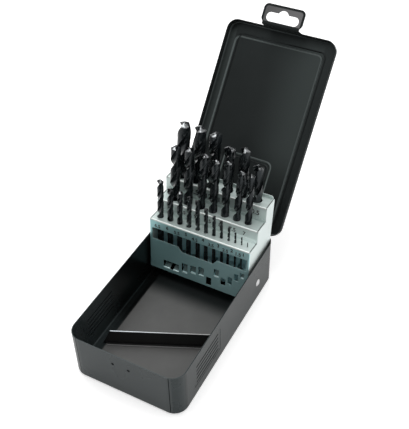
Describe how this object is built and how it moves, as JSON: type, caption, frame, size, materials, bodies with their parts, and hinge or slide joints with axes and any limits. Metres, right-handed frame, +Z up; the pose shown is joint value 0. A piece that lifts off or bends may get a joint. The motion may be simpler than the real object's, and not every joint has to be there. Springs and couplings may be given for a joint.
{
  "type": "drill bit case",
  "caption": "Folding steel drill bit case, open: tray, hinged lid with hang tab, and a stepped rack that swings up and holds twist drills by size.",
  "frame": {"origin": "on the surface the case stands on, under the middle of the open case", "axes": "+X across the case to its right, +Y from its front to its hinge, +Z up"},
  "size_m": [0.1192, 0.3382, 0.2285],
  "materials": {
    "black_powder_coat": "satin",
    "grey_paint": "satin",
    "bright_steel": "satin",
    "black_oxide_steel": "satin"
  },
  "bodies": {
    "tray": {"tray": "black_powder_coat", "tip_rest": "black_powder_coat", "hinge_pin": "bright_steel", "pivot_rivets": "bright_steel", "pivot_washers": "bright_steel"},
    "lid": {"lid_pan": "black_powder_coat"},
    "rack": {"rack_frame": "grey_paint", "middle_tier": "grey_paint", "top_tier": "grey_paint"},
    "bit_6_5_mm": {"bit_6_5_mm": "black_oxide_steel"},
    "bit_6_mm": {"bit_6_mm": "black_oxide_steel"},
    "bit_5_5_mm": {"bit_5_5_mm": "black_oxide_steel"},
    "bit_5_mm": {"bit_5_mm": "black_oxide_steel"},
    "bit_4_5_mm": {"bit_4_5_mm": "black_oxide_steel"},
    "bit_4_mm": {"bit_4_mm": "black_oxide_steel"},
    "bit_3_5_mm": {"bit_3_5_mm": "black_oxide_steel"},
    "bit_3_mm": {"bit_3_mm": "black_oxide_steel"},
    "bit_2_5_mm": {"bit_2_5_mm": "black_oxide_steel"},
    "bit_2_mm": {"bit_2_mm": "black_oxide_steel"},
    "bit_1_5_mm": {"bit_1_5_mm": "black_oxide_steel"},
    "bit_1_mm": {"bit_1_mm": "black_oxide_steel"},
    "bit_10_mm": {"bit_10_mm": "black_oxide_steel"},
    "bit_9_5_mm": {"bit_9_5_mm": "black_oxide_steel"},
    "bit_9_mm": {"bit_9_mm": "black_oxide_steel"},
    "bit_8_5_mm": {"bit_8_5_mm": "black_oxide_steel"},
    "bit_8_mm": {"bit_8_mm": "black_oxide_steel"},
    "bit_7_5_mm": {"bit_7_5_mm": "black_oxide_steel"},
    "bit_7_mm": {"bit_7_mm": "black_oxide_steel"},
    "bit_13_mm": {"bit_13_mm": "black_oxide_steel"},
    "bit_12_5_mm": {"bit_12_5_mm": "black_oxide_steel"},
    "bit_12_mm": {"bit_12_mm": "black_oxide_steel"},
    "bit_11_5_mm": {"bit_11_5_mm": "black_oxide_steel"},
    "bit_11_mm": {"bit_11_mm": "black_oxide_steel"},
    "bit_10_5_mm": {"bit_10_5_mm": "black_oxide_steel"}
  },
  "joints": [
    {"name": "lid_hinge", "type": "hinge", "parent": "tray", "child": "lid", "pos_m": [0, 0.0327, 0.0486], "axis": [-1, 0, 0], "range_deg": [-129.6, 0]},
    {"name": "rack_pivot", "type": "hinge", "parent": "tray", "child": "rack", "pos_m": [0, -0.01001, 0.0239], "axis": [-1, 0, 0], "range_deg": [-95.28, 0]},
    {"name": "lift_6_5_mm", "type": "slide", "parent": "rack", "child": "bit_6_5_mm", "axis": [0, 0.092, 0.9958], "range_m": [0, 0.0582]},
    {"name": "lift_6_mm", "type": "slide", "parent": "rack", "child": "bit_6_mm", "axis": [0, 0.092, 0.9958], "range_m": [0, 0.0564]},
    {"name": "lift_5_5_mm", "type": "slide", "parent": "rack", "child": "bit_5_5_mm", "axis": [0, 0.092, 0.9958], "range_m": [0, 0.0564]},
    {"name": "lift_5_mm", "type": "slide", "parent": "rack", "child": "bit_5_mm", "axis": [0, 0.092, 0.9958], "range_m": [0, 0.0514]},
    {"name": "lift_4_5_mm", "type": "slide", "parent": "rack", "child": "bit_4_5_mm", "axis": [-0.0262, 0.092, 0.9954], "range_m": [0, 0.0467]},
    {"name": "lift_4_mm", "type": "slide", "parent": "rack", "child": "bit_4_mm", "axis": [-0.0262, 0.092, 0.9954], "range_m": [0, 0.0481]},
    {"name": "lift_3_5_mm", "type": "slide", "parent": "rack", "child": "bit_3_5_mm", "axis": [-0.0262, 0.092, 0.9954], "range_m": [0, 0.0486]},
    {"name": "lift_3_mm", "type": "slide", "parent": "rack", "child": "bit_3_mm", "axis": [-0.0523, 0.0919, 0.9944], "range_m": [0, 0.0424]},
    {"name": "lift_2_5_mm", "type": "slide", "parent": "rack", "child": "bit_2_5_mm", "axis": [-0.0087, 0.092, 0.9957], "range_m": [0, 0.0419]},
    {"name": "lift_2_mm", "type": "slide", "parent": "rack", "child": "bit_2_mm", "axis": [-0.0349, 0.092, 0.9952], "range_m": [0, 0.0389]},
    {"name": "lift_1_5_mm", "type": "slide", "parent": "rack", "child": "bit_1_5_mm", "axis": [-0.0349, 0.092, 0.9952], "range_m": [0, 0.0327]},
    {"name": "lift_1_mm", "type": "slide", "parent": "rack", "child": "bit_1_mm", "axis": [-0.0349, 0.092, 0.9952], "range_m": [0, 0.0311]},
    {"name": "lift_10_mm", "type": "slide", "parent": "rack", "child": "bit_10_mm", "axis": [0.0175, 0.092, 0.9956], "range_m": [0, 0.0722]},
    {"name": "lift_9_5_mm", "type": "slide", "parent": "rack", "child": "bit_9_5_mm", "axis": [0.0175, 0.092, 0.9956], "range_m": [0, 0.0622]},
    {"name": "lift_9_mm", "type": "slide", "parent": "rack", "child": "bit_9_mm", "axis": [0.0523, 0.0919, 0.9944], "range_m": [0, 0.063]},
    {"name": "lift_8_5_mm", "type": "slide", "parent": "rack", "child": "bit_8_5_mm", "axis": [0.0262, 0.092, 0.9954], "range_m": [0, 0.0584]},
    {"name": "lift_8_mm", "type": "slide", "parent": "rack", "child": "bit_8_mm", "axis": [0.0087, 0.092, 0.9957], "range_m": [0, 0.0558]},
    {"name": "lift_7_5_mm", "type": "slide", "parent": "rack", "child": "bit_7_5_mm", "axis": [0.0349, 0.092, 0.9952], "range_m": [0, 0.0541]},
    {"name": "lift_7_mm", "type": "slide", "parent": "rack", "child": "bit_7_mm", "axis": [0, 0.092, 0.9958], "range_m": [0, 0.0539]},
    {"name": "lift_13_mm", "type": "slide", "parent": "rack", "child": "bit_13_mm", "axis": [0.0558, 0.0919, 0.9942], "range_m": [0, 0.0893]},
    {"name": "lift_12_5_mm", "type": "slide", "parent": "rack", "child": "bit_12_5_mm", "axis": [0.0489, 0.0919, 0.9946], "range_m": [0, 0.0889]},
    {"name": "lift_12_mm", "type": "slide", "parent": "rack", "child": "bit_12_mm", "axis": [0.0349, 0.092, 0.9952], "range_m": [0, 0.0906]},
    {"name": "lift_11_5_mm", "type": "slide", "parent": "rack", "child": "bit_11_5_mm", "axis": [0.0087, 0.092, 0.9957], "range_m": [0, 0.0927]},
    {"name": "lift_11_mm", "type": "slide", "parent": "rack", "child": "bit_11_mm", "axis": [0, 0.092, 0.9958], "range_m": [0, 0.0891]},
    {"name": "lift_10_5_mm", "type": "slide", "parent": "rack", "child": "bit_10_5_mm", "axis": [-0.0314, 0.092, 0.9953], "range_m": [0, 0.0943]}
  ],
  "couplings": [
    {"joint": "rack_pivot", "follows": "lid_hinge", "ratio": 0.73518}
  ]
}
